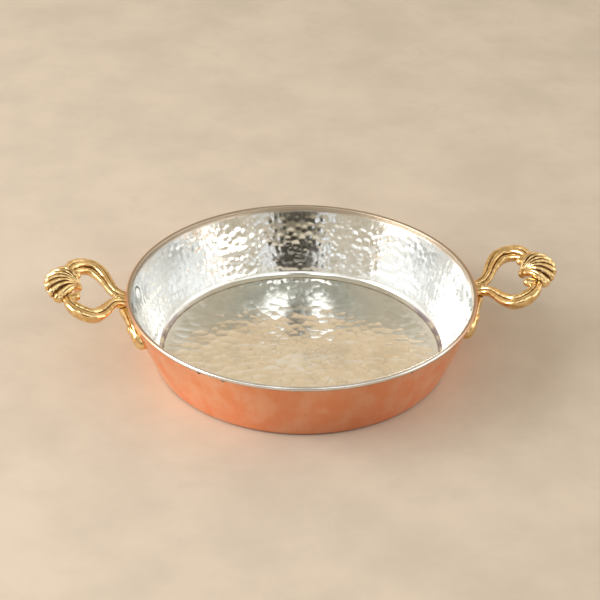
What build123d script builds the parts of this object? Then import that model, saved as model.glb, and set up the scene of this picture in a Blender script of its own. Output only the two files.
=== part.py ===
from build123d import *
import math
import os

# All lengths are millimetres and all angles are degrees.
# The pan stands on the plane z = 0, its axis is +Z, and its handles lie along X.

# Pan
RIM_RADIUS = 100.0
PAN_HEIGHT = 42.0
BASE_RADIUS = 84.0
COPPER_THICKNESS = 1.2
BASE_CORNER_RADIUS = 3.4
RIM_BEAD_RADIUS = 1.3

# Tin lining, which also wraps over the rim bead
TIN_THICKNESS = 0.2
TIN_WRAP_DEPTH = 2.0

# Rivets: two for each handle, square to the wall
RIVET_OFFSET = 18.0
RIVET_DROP = 10.5
RIVET_SHANK_RADIUS = 1.9
RIVET_INNER_HEAD_RADIUS = 3.6
RIVET_INNER_HEAD_RISE = 0.9
RIVET_OUTER_HEAD_RADIUS = 3.0
RIVET_OUTER_HEAD_RISE = 1.3

# Clearances
SHANK_CLEARANCE = 0.04
HEAD_CLEARANCE = 0.04
SEAT_CLEARANCE = 0.04

# Handle: a casting whose plane rises outwards from its root at the wall
HANDLE_ROOT_DROP = 3.5
HANDLE_ROOT_STANDOFF = 1.0
HANDLE_TILT = 19.2
HANDLE_ROOT_OVERRUN = 5.0
NECK_WEB_REACH = 6.2
NECK_WEB_ROOT_RADIUS = 3.0
NECK_WEB_END_RADIUS = 2.6

# Reach of the shell's hub from the handle's root, which the arms' bows and scrolls follow
SHELL_HUB_REACH = 25.4

# Each arm's centreline in the handle's plane: reach from the root, side offset,
# half width across the bar and half thickness, from the wall to the scroll
ARM_STATIONS = (
    (-4.0, 3.6, 3.3, 2.7),
    (1.5, 3.9, 3.2, 3.0),
    (5.9, 6.1, 3.1, 3.2),
    (8.8, 10.4, 3.0, 3.5),
    (SHELL_HUB_REACH - 14.2, 15.8, 3.5, 3.8),
    (SHELL_HUB_REACH - 10.9, 21.4, 4.3, 4.2),
    (SHELL_HUB_REACH - 6.2, 25.2, 4.9, 4.5),
    (SHELL_HUB_REACH - 0.6, 24.5, 5.0, 4.5),
    (SHELL_HUB_REACH + 4.0, 21.3, 4.6, 4.1),
    (SHELL_HUB_REACH + 6.6, 17.2, 3.5, 3.2),
    (SHELL_HUB_REACH + 6.8, 13.4, 2.4, 2.4),
)

# Each arm's fluted section, as shares of its half width and half thickness: three
# ridges above with two grooves between them, and one bow below
SECTION_INNER_EDGE = (-1.0, -0.28)
SECTION_INNER_RIDGE = (-0.86, 0.42)
SECTION_INNER_GROOVE = (-0.44, 0.32)
SECTION_MIDDLE_RIDGE = (-0.12, 0.92)
SECTION_OUTER_GROOVE = (0.24, 0.48)
SECTION_OUTER_RIDGE = (0.72, 0.78)
SECTION_OUTER_EDGE = (1.0, 0.0)
SECTION_UNDERSIDE = (-0.14, -0.94)

# Eye of each arm's scroll, a ball beside the shell's hub
SCROLL_EYE_REACH = SHELL_HUB_REACH + 3.2
SCROLL_EYE_OFFSET = 11.6
SCROLL_EYE_RISE = 1.2
SCROLL_EYE_RADIUS = 2.6
SCROLL_EYE_OVERLAP = 0.45

# Shell of ribs at the handle's outer end, fanned about its hub
SHELL_HUB_STEP = 2.0
SHELL_HUB_RADIUS = 2.6
SHELL_RIB_COUNT = 7
SHELL_SPREAD = 93.0
RIB_END_RADIUS = 3.65

# Each rib: run from the hub, rise, half width and half thickness
RIB_STATIONS = (
    (1.2, 0.4, 1.3, 1.3),
    (6.2, 2.6, 1.9, 2.0),
    (11.2, 3.7, 2.5, 2.6),
    (15.4, 2.0, 3.0, 3.1),
    (17.7, -0.8, 3.4, 3.4),
)

# Boss under each outer rivet head
BOSS_RADIUS = 3.5
BOSS_HEIGHT = 4.7

# Lengths that only have to run past what they cut
DRILL_LENGTH = 4 * (BOSS_HEIGHT + COPPER_THICKNESS)
HOLLOW_TOP = 2 * PAN_HEIGHT
BARE_RADIUS = 2 * RIM_RADIUS

# Each leg of the foot is a chain of swellings on the wall: offset along the wall
# from the handle's axis, drop below the rim, radius, and how far its centre stands
# out of the wall. The third is the one that the rivet goes through
LEG_STATIONS = (
    (3.8, 6.9, 4.8, 2.4),
    (RIVET_OFFSET - 6.8, RIVET_DROP - 2.2, 4.1, 1.3),
    (RIVET_OFFSET, RIVET_DROP, 4.2, 1.1),
    (RIVET_OFFSET + 4.3, RIVET_DROP + 3.5, 4.9, 0.9),
    (RIVET_OFFSET + 6.6, RIVET_DROP + 5.7, 4.1, 1.2),
)


def wall_slope():
    """Angle of the wall's outer face from the vertical, in radians."""
    run = RIM_RADIUS - RIM_BEAD_RADIUS - BASE_RADIUS
    rise = PAN_HEIGHT - RIM_BEAD_RADIUS
    to_bead = math.atan2(run, rise)
    half_sheet = math.asin(COPPER_THICKNESS / 2 / math.hypot(run, rise))
    return to_bead + half_sheet


WALL_SLOPE = wall_slope()


def wall_radius(height, inset=0.0):
    """Radius of the wall at a height, on a face parallel to the outer one and inset from it."""
    return BASE_RADIUS + height * math.tan(WALL_SLOPE) - inset / math.cos(WALL_SLOPE)


def wall_normal(angle):
    """Outward direction square to the wall, at an angle in radians from the right handle's axis."""
    return Vector(
        math.cos(WALL_SLOPE) * math.cos(angle),
        math.cos(WALL_SLOPE) * math.sin(angle),
        -math.sin(WALL_SLOPE),
    )


def wall_point(offset, drop, depth=0.0):
    """Point at an offset along the wall and a drop below the rim, at a depth under its face."""
    height = PAN_HEIGHT - drop
    radius = wall_radius(height)
    angle = offset / radius
    surface = Vector(radius * math.cos(angle), radius * math.sin(angle), height)
    return surface - wall_normal(angle) * depth


def rivet_frame(side):
    """Plane on the wall's outer face at one rivet of the right handle, with z outwards."""
    origin = wall_point(side * RIVET_OFFSET, RIVET_DROP)
    angle = math.atan2(origin.Y, origin.X)
    along_wall = (-math.sin(angle), math.cos(angle), 0)
    return Plane(origin=origin, x_dir=along_wall, z_dir=wall_normal(angle))


def handle_frame():
    """Plane of the right handle: x is the reach from its root, y the side offset, z the rise."""
    tilt = math.radians(HANDLE_TILT)
    return Plane(
        origin=(RIM_RADIUS + HANDLE_ROOT_STANDOFF, 0, PAN_HEIGHT - HANDLE_ROOT_DROP),
        x_dir=(math.cos(tilt), 0, math.sin(tilt)),
        z_dir=(-math.sin(tilt), 0, math.cos(tilt)),
    )


def vessel(inset, top):
    """Solid inside a face that is parallel to the pan's outer face and inset from it."""
    floor_radius = wall_radius(inset, inset)
    outline = Polyline(
        (0, inset),
        (floor_radius, inset),
        (wall_radius(top, inset), top),
        (0, top),
        close=True,
    )
    section = make_face(outline)
    corner = section.vertices().sort_by_distance((floor_radius, inset, 0))[0]
    section = fillet(corner, BASE_CORNER_RADIUS - inset)
    return revolve(Plane.XZ * section, Axis.Z, 360)


def rim_ring(radius):
    """Ring of round section along the rim, about the centre of its bead."""
    section = Pos(RIM_RADIUS - RIM_BEAD_RADIUS, PAN_HEIGHT - RIM_BEAD_RADIUS) * Circle(radius)
    return revolve(Plane.XZ * section, Axis.Z, 360)


def plain_copper():
    """The copper sheet with its floor, wall and rolled rim, before the rivet holes."""
    bead_height = PAN_HEIGHT - RIM_BEAD_RADIUS
    shell = vessel(0, bead_height) - vessel(COPPER_THICKNESS, PAN_HEIGHT)
    return shell + rim_ring(RIM_BEAD_RADIUS - TIN_THICKNESS)


def pan_body(copper):
    """The copper vessel with a hole for each rivet's shank."""
    for rivet_place in rivet_places():
        copper = copper - rivet_place * Cylinder(RIVET_SHANK_RADIUS + SHANK_CLEARANCE, DRILL_LENGTH)
    return copper


def tin_lining(copper):
    """The tin skin over the floor, the wall and the rim bead, open round each rivet head."""
    bead_height = PAN_HEIGHT - RIM_BEAD_RADIUS
    skin = vessel(COPPER_THICKNESS, bead_height) - vessel(COPPER_THICKNESS + TIN_THICKNESS, PAN_HEIGHT)
    wrap_edge = PAN_HEIGHT - TIN_WRAP_DEPTH
    bare = Pos(0, 0, wrap_edge / 2) * Cylinder(BARE_RADIUS, wrap_edge)
    bare = bare - vessel(COPPER_THICKNESS / 2, PAN_HEIGHT)
    lining = skin + (rim_ring(RIM_BEAD_RADIUS) - bare) - copper
    for rivet_place in rivet_places():
        lining = lining - rivet_place * Cylinder(RIVET_INNER_HEAD_RADIUS + HEAD_CLEARANCE, DRILL_LENGTH)
    return lining


def swelling(start, start_radius, end, end_radius):
    """Two balls and the cone that is tangent to both, as one turned solid."""
    start, end = Vector(*start), Vector(*end)
    length = (end - start).length
    slope = math.asin((start_radius - end_radius) / length)
    along, across = math.sin(slope), math.cos(slope)
    first_middle = (math.pi * 1.5 - slope) / 2
    last_middle = (math.pi / 2 - slope) / 2
    first_arc = ThreePointArc(
        (-start_radius, 0),
        (start_radius * math.cos(first_middle), start_radius * math.sin(first_middle)),
        (start_radius * along, start_radius * across),
    )
    last_arc = ThreePointArc(
        (length + end_radius * along, end_radius * across),
        (length + end_radius * math.cos(last_middle), end_radius * math.sin(last_middle)),
        (length + end_radius, 0),
    )
    side = Line(first_arc @ 1, last_arc @ 0)
    axis_line = Line(last_arc @ 1, first_arc @ 0)
    section = make_face(first_arc + side + last_arc + axis_line)
    direction = (end - start).normalized()
    sideways = direction.cross(Vector(0, 0, 1))
    place = Plane(origin=start, x_dir=direction, z_dir=sideways)
    return place * revolve(section, Axis.X, 360)


def headings(stations):
    """Direction of travel at each station, from its neighbours' first two coordinates."""
    last = len(stations) - 1
    directions = []
    for index in range(len(stations)):
        before = stations[max(index - 1, 0)]
        after = stations[min(index + 1, last)]
        directions.append(math.atan2(after[1] - before[1], after[0] - before[0]))
    return directions


def arm_section(station, heading):
    """Fluted section of an arm: three ridges above, one bow below."""
    reach, offset, half_width, half_thickness = station
    bows = (
        (SECTION_INNER_EDGE, SECTION_INNER_RIDGE, SECTION_INNER_GROOVE),
        (SECTION_INNER_GROOVE, SECTION_MIDDLE_RIDGE, SECTION_OUTER_GROOVE),
        (SECTION_OUTER_GROOVE, SECTION_OUTER_RIDGE, SECTION_OUTER_EDGE),
        (SECTION_OUTER_EDGE, SECTION_UNDERSIDE, SECTION_INNER_EDGE),
    )
    outline = []
    for bow in bows:
        points = [(across * half_width, up * half_thickness) for across, up in bow]
        outline.append(ThreePointArc(*points))
    tangent = Vector(math.cos(heading), math.sin(heading), 0)
    leftwards = Vector(-math.sin(heading), math.cos(heading), 0)
    place = Plane(origin=(reach, offset, 0), x_dir=leftwards, z_dir=tangent)
    return place * make_face(Curve() + outline)


def arm():
    """One fluted arm of the loop, from inside the wall to its scroll, on the +Y side."""
    sections = []
    for station, heading in zip(ARM_STATIONS, headings(ARM_STATIONS)):
        sections.append(arm_section(station, heading))
    return loft(sections)


def scroll_eye():
    """Curl at the arm's end, which ends in a ball beside the shell's hub."""
    reach, offset, half_width, half_thickness = ARM_STATIONS[-1]
    start_radius = max(half_width, half_thickness) + SCROLL_EYE_OVERLAP
    eye = (SCROLL_EYE_REACH, SCROLL_EYE_OFFSET, SCROLL_EYE_RISE)
    return swelling((reach, offset, 0), start_radius, eye, SCROLL_EYE_RADIUS)


def neck_web():
    """Web that joins the two arms at the neck."""
    root = (-HANDLE_ROOT_OVERRUN, 0, 0)
    end = (NECK_WEB_REACH - NECK_WEB_END_RADIUS, 0, 0)
    return swelling(root, NECK_WEB_ROOT_RADIUS, end, NECK_WEB_END_RADIUS)


def shell_rib():
    """One rib of the shell, along X: it rises from the hub to a crest and rolls over at its end."""
    sections = []
    for station, slope in zip(RIB_STATIONS, headings(RIB_STATIONS)):
        run, rise, half_width, half_thickness = station
        place = Plane(
            origin=(run, 0, rise),
            x_dir=(0, 1, 0),
            z_dir=(math.cos(slope), 0, math.sin(slope)),
        )
        sections.append(place * Ellipse(half_width, half_thickness))
    end_run, end_rise = RIB_STATIONS[-1][:2]
    return loft(sections) + Pos(end_run, 0, end_rise) * Sphere(RIB_END_RADIUS)


def shell():
    """The hub and all ribs of the shell, fanned about the handle's axis."""
    rib = shell_rib()
    step = SHELL_SPREAD / (SHELL_RIB_COUNT - 1)
    pieces = [Pos(SHELL_HUB_REACH + SHELL_HUB_STEP, 0, 0) * Sphere(SHELL_HUB_RADIUS)]
    for index in range(SHELL_RIB_COUNT):
        turn = index * step - SHELL_SPREAD / 2
        pieces.append(Pos(SHELL_HUB_REACH, 0, 0) * Rot(0, 0, turn) * rib)
    return pieces[0].fuse(*pieces[1:])


def leg(side):
    """One leg of the foot, on the wall at one side of the neck, with its rivet boss."""
    pieces = []
    for start, end in zip(LEG_STATIONS, LEG_STATIONS[1:]):
        start_offset, start_drop, start_radius, start_standoff = start
        end_offset, end_drop, end_radius, end_standoff = end
        start_point = wall_point(side * start_offset, start_drop, -start_standoff)
        end_point = wall_point(side * end_offset, end_drop, -end_standoff)
        pieces.append(swelling(start_point, start_radius, end_point, end_radius))
    boss_length = BOSS_HEIGHT + COPPER_THICKNESS
    boss = Pos(0, 0, BOSS_HEIGHT - boss_length / 2) * Cylinder(BOSS_RADIUS, boss_length)
    pieces.append(rivet_frame(side) * boss)
    return pieces[0].fuse(*pieces[1:])


def right_handle():
    """The casting: arms, scrolls, shell, neck and legs, cut to the wall that it seats on."""
    rear_arm = arm()
    rear_eye = scroll_eye()
    flat_pieces = [rear_arm, mirror(rear_arm, Plane.XZ), neck_web()]
    flat_pieces += [rear_eye, mirror(rear_eye, Plane.XZ), shell()]
    frame = handle_frame()
    pieces = [frame * piece for piece in flat_pieces]
    pieces += [leg(1), leg(-1)]
    casting = pieces[0].fuse(*pieces[1:])
    casting = casting - vessel(-SEAT_CLEARANCE, HOLLOW_TOP)
    casting = casting - rim_ring(RIM_BEAD_RADIUS + SEAT_CLEARANCE)
    drill = Cylinder(RIVET_SHANK_RADIUS + SHANK_CLEARANCE, DRILL_LENGTH)
    recess = Cylinder(RIVET_OUTER_HEAD_RADIUS + HEAD_CLEARANCE, DRILL_LENGTH)
    recess = Pos(0, 0, BOSS_HEIGHT + DRILL_LENGTH / 2) * recess
    for side in (1, -1):
        casting = casting - rivet_frame(side) * drill
        casting = casting - rivet_frame(side) * recess
    return casting


def rivet_head(radius, rise):
    """Low dome of a rivet's head, which stands on z = 0."""
    ball_radius = (radius * radius + rise * rise) / (2 * rise)
    ball = Pos(0, 0, rise - ball_radius) * Sphere(ball_radius)
    return ball & Pos(0, 0, rise) * Cylinder(radius, 2 * rise)


def rivet(copper):
    """One rivet on z: domed head on the boss, flattened head on the wall's inner face."""
    root = RIVET_INNER_HEAD_RISE / 2
    shank_length = BOSS_HEIGHT + COPPER_THICKNESS + root
    shank = Pos(0, 0, BOSS_HEIGHT - shank_length / 2) * Cylinder(RIVET_SHANK_RADIUS, shank_length)
    outer_head = Pos(0, 0, BOSS_HEIGHT) * rivet_head(RIVET_OUTER_HEAD_RADIUS, RIVET_OUTER_HEAD_RISE)
    inner_head = rivet_head(RIVET_INNER_HEAD_RADIUS, RIVET_INNER_HEAD_RISE)
    inner_head += Pos(0, 0, -root / 2) * Cylinder(RIVET_INNER_HEAD_RADIUS, root)
    inner_head = Pos(0, 0, -COPPER_THICKNESS) * Rot(180, 0, 0) * inner_head
    seated_head = inner_head - rivet_frame(1).location.inverse() * copper
    return shank + outer_head + seated_head


def rivet_places():
    """Where each rivet's axis is: rear and front of the right handle, then of the left one."""
    places = []
    for half_turn in (Rot(0, 0, 0), Rot(0, 0, 180)):
        for side in (1, -1):
            places.append(half_turn * rivet_frame(side).location)
    return places


def main():
    copper = plain_copper()
    handle = right_handle()
    nodes = {
        "pan_body": pan_body(copper),
        "tin_lining": tin_lining(copper),
        "right_handle": handle,
        "left_handle": Rot(0, 0, 180) * handle,
    }
    names = ("right_rear_rivet", "right_front_rivet", "left_front_rivet", "left_rear_rivet")
    plain_rivet = rivet(copper)
    for name, place in zip(names, rivet_places()):
        nodes[name] = place * plain_rivet
    os.makedirs("parts", exist_ok=True)
    for name, solid in nodes.items():
        export_step(solid, f"parts/{name}.step")


if __name__ == "__main__":
    main()
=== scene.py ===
"""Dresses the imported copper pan: hammered tin inside, satin copper outside, cast brass handles."""

import logging
import math
from collections.abc import Iterator
from contextlib import contextmanager
from dataclasses import dataclass
from enum import Enum
from functools import cached_property

import bpy
import numpy as np
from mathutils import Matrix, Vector


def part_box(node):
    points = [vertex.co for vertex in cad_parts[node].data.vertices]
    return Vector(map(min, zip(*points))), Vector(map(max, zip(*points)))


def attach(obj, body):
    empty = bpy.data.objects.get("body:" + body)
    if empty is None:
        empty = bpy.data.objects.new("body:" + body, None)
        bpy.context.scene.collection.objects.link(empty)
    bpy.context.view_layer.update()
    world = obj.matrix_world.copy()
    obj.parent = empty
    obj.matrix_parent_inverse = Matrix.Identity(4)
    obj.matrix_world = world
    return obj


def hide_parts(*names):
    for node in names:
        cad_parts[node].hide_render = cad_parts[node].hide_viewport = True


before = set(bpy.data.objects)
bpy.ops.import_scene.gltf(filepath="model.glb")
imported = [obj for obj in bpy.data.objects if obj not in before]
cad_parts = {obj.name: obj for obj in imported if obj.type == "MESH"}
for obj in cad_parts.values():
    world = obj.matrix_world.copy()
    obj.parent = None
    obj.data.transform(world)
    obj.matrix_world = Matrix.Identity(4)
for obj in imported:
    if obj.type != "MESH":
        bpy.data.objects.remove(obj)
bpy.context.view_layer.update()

LOG = logging.getLogger("copper_pan")
MM = 0.001
FULL_TURN = 2 * math.pi
BODY = "root"
Colour = tuple[float, float, float]
Span = tuple[float, float]


class Slot(Enum):
    """Material slots of the record."""

    COPPER = "copper"
    TIN = "tin"
    BRASS = "brass"


class Side(Enum):
    """The two handles, each with the sign of its X direction."""

    LEFT = -1
    RIGHT = 1

    @property
    def word(self) -> str:
        """The side's name in lower case."""
        return self.name.lower()


def smooth_step(values: np.ndarray, low: float, high: float) -> np.ndarray:
    """Smooth step from 0 at low to 1 at high."""
    share = np.clip((values - low) / (high - low), 0.0, 1.0)
    return share * share * (3 - 2 * share)


@dataclass(frozen=True)
class PanSizes:
    """Sizes of the sheet, its lining and its rivets, in metres."""

    rim_radius: float
    height: float
    base_radius: float = 84.0 * MM
    copper_thickness: float = 1.2 * MM
    tin_thickness: float = 0.2 * MM
    corner_radius: float = 3.4 * MM
    bead_radius: float = 1.3 * MM
    wrap_depth: float = 2.35 * MM
    rivet_offset: float = 18.0 * MM
    rivet_drop: float = 10.5 * MM
    inner_head_radius: float = 3.6 * MM
    pool_radius: float = 4.6 * MM
    wall_bow: float = 0.7 * MM
    bow_rise: Span = (0.04, 0.52)
    bow_fall: Span = (0.36, 1.1)

    @classmethod
    def from_frame(cls) -> "PanSizes":
        """Takes the rim's radius and the pan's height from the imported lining."""
        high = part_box("tin_lining")[1]
        return cls(rim_radius=high.x, height=high.z)

    @property
    def slope(self) -> float:
        """Slant of the wall.

        Returns:
            Its angle from the vertical, in radians.
        """
        run = self.rim_radius - self.bead_radius - self.base_radius
        rise = self.height - self.bead_radius
        half_sheet = self.copper_thickness / 2 / math.hypot(run, rise)
        return math.atan2(run, rise) + math.asin(half_sheet)

    @property
    def bead_centre(self) -> tuple[float, float]:
        """Radius and height of the rim bead's centre."""
        return self.rim_radius - self.bead_radius, self.height - self.bead_radius

    @property
    def lining_inset(self) -> float:
        """Distance from the copper's outer face to the lining's inner face."""
        return self.copper_thickness + self.tin_thickness

    @property
    def floor_radius(self) -> float:
        """Radius where the lining's floor meets the corner, in which the tin pooled."""
        inset = self.lining_inset + self.pool_radius
        return self.wall_radius(inset, inset)

    @property
    def rivet_height(self) -> float:
        """Height of the rivets' axes where they meet the wall."""
        return self.height - self.rivet_drop

    def bow(self, height: np.ndarray) -> np.ndarray:
        """How far the wall stands out of its straight line, which brings it upright at the rim.

        Args:
            height: Heights of the points.

        Returns:
            Distance outwards at each point, 0 at the foot and at the rim.
        """
        share = np.clip(height / self.bead_centre[1], 0.0, 1.0)
        rise = smooth_step(share, *self.bow_rise)
        fall = 1 - smooth_step(share, *self.bow_fall) / smooth_step(np.array(1.0), *self.bow_fall)
        return self.wall_bow * rise * fall

    def wall_radius(self, height: float, inset: float = 0.0) -> float:
        """Radius of the wall at a height, on a face inset from the outer one."""
        return self.base_radius + height * math.tan(self.slope) - inset / math.cos(self.slope)


@dataclass(frozen=True)
class Ring:
    """One ring of a turned surface: its radius and height, and its normal in that plane."""

    radius: float
    height: float
    out: float
    up: float


class Outline:
    """Rings of a turned surface, laid along lines and arcs in the plane of radius and height."""

    SAME_PLACE = 0.01 * MM

    def __init__(self) -> None:
        """Starts with no rings."""
        self.rings: list[Ring] = []

    def line(
        self, start: tuple[float, float], end: tuple[float, float], spacing: float, left: bool
    ) -> None:
        """Adds rings along a straight stretch.

        Args:
            start: Radius and height where it begins.
            end: Radius and height where it ends.
            spacing: Wanted distance between rings.
            left: Whether the surface faces to the left of the direction of travel.
        """
        run, rise = end[0] - start[0], end[1] - start[1]
        length = math.hypot(run, rise)
        turn = 1 if left else -1
        normal = (-rise / length * turn, run / length * turn)
        steps = max(1, round(length / spacing))
        for step in range(steps + 1):
            share = step / steps
            self._add(start[0] + run * share, start[1] + rise * share, *normal)

    def arc(
        self,
        centre: tuple[float, float],
        radius: float,
        start: float,
        end: float,
        spacing: float,
        hollow: bool,
    ) -> None:
        """Adds rings along an arc.

        Args:
            centre: Radius and height of the arc's centre.
            radius: The arc's own radius.
            start: Angle in radians where it begins, from the outward direction.
            end: Angle where it ends.
            spacing: Wanted distance between rings.
            hollow: Whether the surface faces the arc's centre.
        """
        steps = max(1, round(abs(end - start) * radius / spacing))
        facing = -1 if hollow else 1
        for step in range(steps + 1):
            angle = start + (end - start) * step / steps
            out, up = math.cos(angle), math.sin(angle)
            self._add(centre[0] + radius * out, centre[1] + radius * up, facing * out, facing * up)

    def _add(self, radius: float, height: float, out: float, up: float) -> None:
        """Adds a ring unless it repeats the last one, whose normal then becomes the mean.

        Args:
            radius: The ring's radius.
            height: The ring's height.
            out: Outward part of its normal.
            up: Upward part of its normal.
        """
        if self.rings:
            last = self.rings[-1]
            if math.hypot(last.radius - radius, last.height - height) < self.SAME_PLACE:
                self.rings[-1] = Ring(radius, height, (last.out + out) / 2, (last.up + up) / 2)
                return
        self.rings.append(Ring(radius, height, out, up))


class Bench:
    """Hand operations on one piece at a time, with everything else deselected."""

    @staticmethod
    def clear() -> None:
        """Leaves edit mode and deselects every object."""
        if bpy.context.mode != "OBJECT":
            bpy.ops.object.mode_set(mode="OBJECT")
        bpy.ops.object.select_all(action="DESELECT")

    @staticmethod
    def pick(piece: bpy.types.Object) -> None:
        """Selects one piece and makes it the active one.

        Args:
            piece: The piece to select.
        """
        Bench.clear()
        piece.select_set(True)
        bpy.context.view_layer.objects.active = piece

    @staticmethod
    def added(name: str) -> bpy.types.Object:
        """Names the primitive that was added last.

        Args:
            name: Name for the object and its mesh.

        Returns:
            The new piece.
        """
        piece = bpy.context.view_layer.objects.active
        piece.name = name
        piece.data.name = name
        return piece

    @staticmethod
    @contextmanager
    def editing(piece: bpy.types.Object) -> Iterator[None]:
        """Opens a piece in edit mode with all of it selected, and closes it again.

        Args:
            piece: The piece to work on.

        Yields:
            Nothing, while the piece is open.
        """
        Bench.pick(piece)
        bpy.ops.object.mode_set(mode="EDIT")
        bpy.ops.mesh.select_mode(type="VERT")
        bpy.ops.mesh.select_all(action="SELECT")
        yield
        bpy.ops.object.mode_set(mode="OBJECT")

    @staticmethod
    def apply_modifier(piece: bpy.types.Object, kind: str, **settings: object) -> None:
        """Adds a modifier and applies it.

        Args:
            piece: The piece that gets it.
            kind: The modifier's type.
            **settings: Its properties.
        """
        Bench.pick(piece)
        modifier = piece.modifiers.new(name=kind.lower(), type=kind)
        for name, value in settings.items():
            setattr(modifier, name, value)
        bpy.ops.object.modifier_apply(modifier=modifier.name)

    @staticmethod
    def settle(piece: bpy.types.Object) -> None:
        """Applies the object's place, turn and size to its mesh."""
        Bench.pick(piece)
        bpy.ops.object.transform_apply(location=True, rotation=True, scale=True)

    @staticmethod
    def smooth(piece: bpy.types.Object) -> None:
        """Shades all faces of a piece smooth."""
        Bench.pick(piece)
        bpy.ops.object.shade_smooth()

    @staticmethod
    def points(piece: bpy.types.Object) -> np.ndarray:
        """Reads the piece's vertices.

        Args:
            piece: The piece to read.

        Returns:
            One row of coordinates for each vertex.
        """
        flat = np.empty(len(piece.data.vertices) * 3)
        piece.data.vertices.foreach_get("co", flat)
        return flat.reshape(-1, 3)

    @staticmethod
    def place_points(piece: bpy.types.Object, points: np.ndarray) -> None:
        """Moves the piece's vertices to the given rows."""
        piece.data.vertices.foreach_set("co", points.ravel())
        piece.data.update()

    @staticmethod
    def edges(piece: bpy.types.Object) -> np.ndarray:
        """Reads the piece's edges.

        Args:
            piece: The piece to read.

        Returns:
            One row of two vertex numbers for each edge.
        """
        flat = np.empty(len(piece.data.edges) * 2, dtype=np.int64)
        piece.data.edges.foreach_get("vertices", flat)
        return flat.reshape(-1, 2)

    @staticmethod
    def normals(piece: bpy.types.Object) -> np.ndarray:
        """Reads the piece's vertex normals.

        Args:
            piece: The piece to read.

        Returns:
            One row for each vertex.
        """
        flat = np.empty(len(piece.data.vertices) * 3, dtype=np.float32)
        piece.data.vertex_normals.foreach_get("vector", flat)
        return flat.reshape(-1, 3).astype(float)

    @staticmethod
    def store(piece: bpy.types.Object, name: str, values: np.ndarray) -> None:
        """Keeps one number for each vertex as a named attribute."""
        attribute = piece.data.attributes.new(name, "FLOAT", "POINT")
        attribute.data.foreach_set("value", values.astype(np.float32))


class Value:
    """A number socket that takes part in Python expressions."""

    def __init__(self, board: "Board", socket: bpy.types.NodeSocket) -> None:
        """Wraps a socket of a board."""
        self.board = board
        self.socket = socket

    def _math(self, operation: str, first: object, second: object = 0.0) -> "Value":
        """Adds a Math node for one operation."""
        node = self.board.node("ShaderNodeMath", {"operation": operation}, {0: first, 1: second})
        return Value(self.board, node.outputs[0])

    def __add__(self, other: object) -> "Value":
        """Sum."""
        return self._math("ADD", self, other)

    def __sub__(self, other: object) -> "Value":
        """Difference."""
        return self._math("SUBTRACT", self, other)

    def __rsub__(self, other: object) -> "Value":
        """Difference from a number on the left."""
        return self._math("SUBTRACT", other, self)

    def __mul__(self, other: object) -> "Value":
        """Product."""
        return self._math("MULTIPLY", self, other)

    def __truediv__(self, other: object) -> "Value":
        """Quotient."""
        return self._math("DIVIDE", self, other)

    def __pow__(self, other: object) -> "Value":
        """Power."""
        return self._math("POWER", self, other)

    def __abs__(self) -> "Value":
        """Size without sign."""
        return self._math("ABSOLUTE", self)

    def arctan2(self, other: "Value") -> "Value":
        """Angle of the point whose height is this value and whose run is the other."""
        return self._math("ARCTAN2", self, other)

    def rise(self, low: float, high: float) -> "Value":
        """Smooth step.

        Args:
            low: Value up to which the step is 0.
            high: Value from which it is 1.

        Returns:
            The step.
        """
        settings = {"interpolation_type": "SMOOTHSTEP"}
        inputs = {"Value": self, "From Min": low, "From Max": high}
        node = self.board.node("ShaderNodeMapRange", settings, inputs)
        return Value(self.board, node.outputs[0])

    def between(self, low: float, high: float) -> "Value":
        """Straight scale from 0 and 1 to low and high."""
        return self * (high - low) + low


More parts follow.
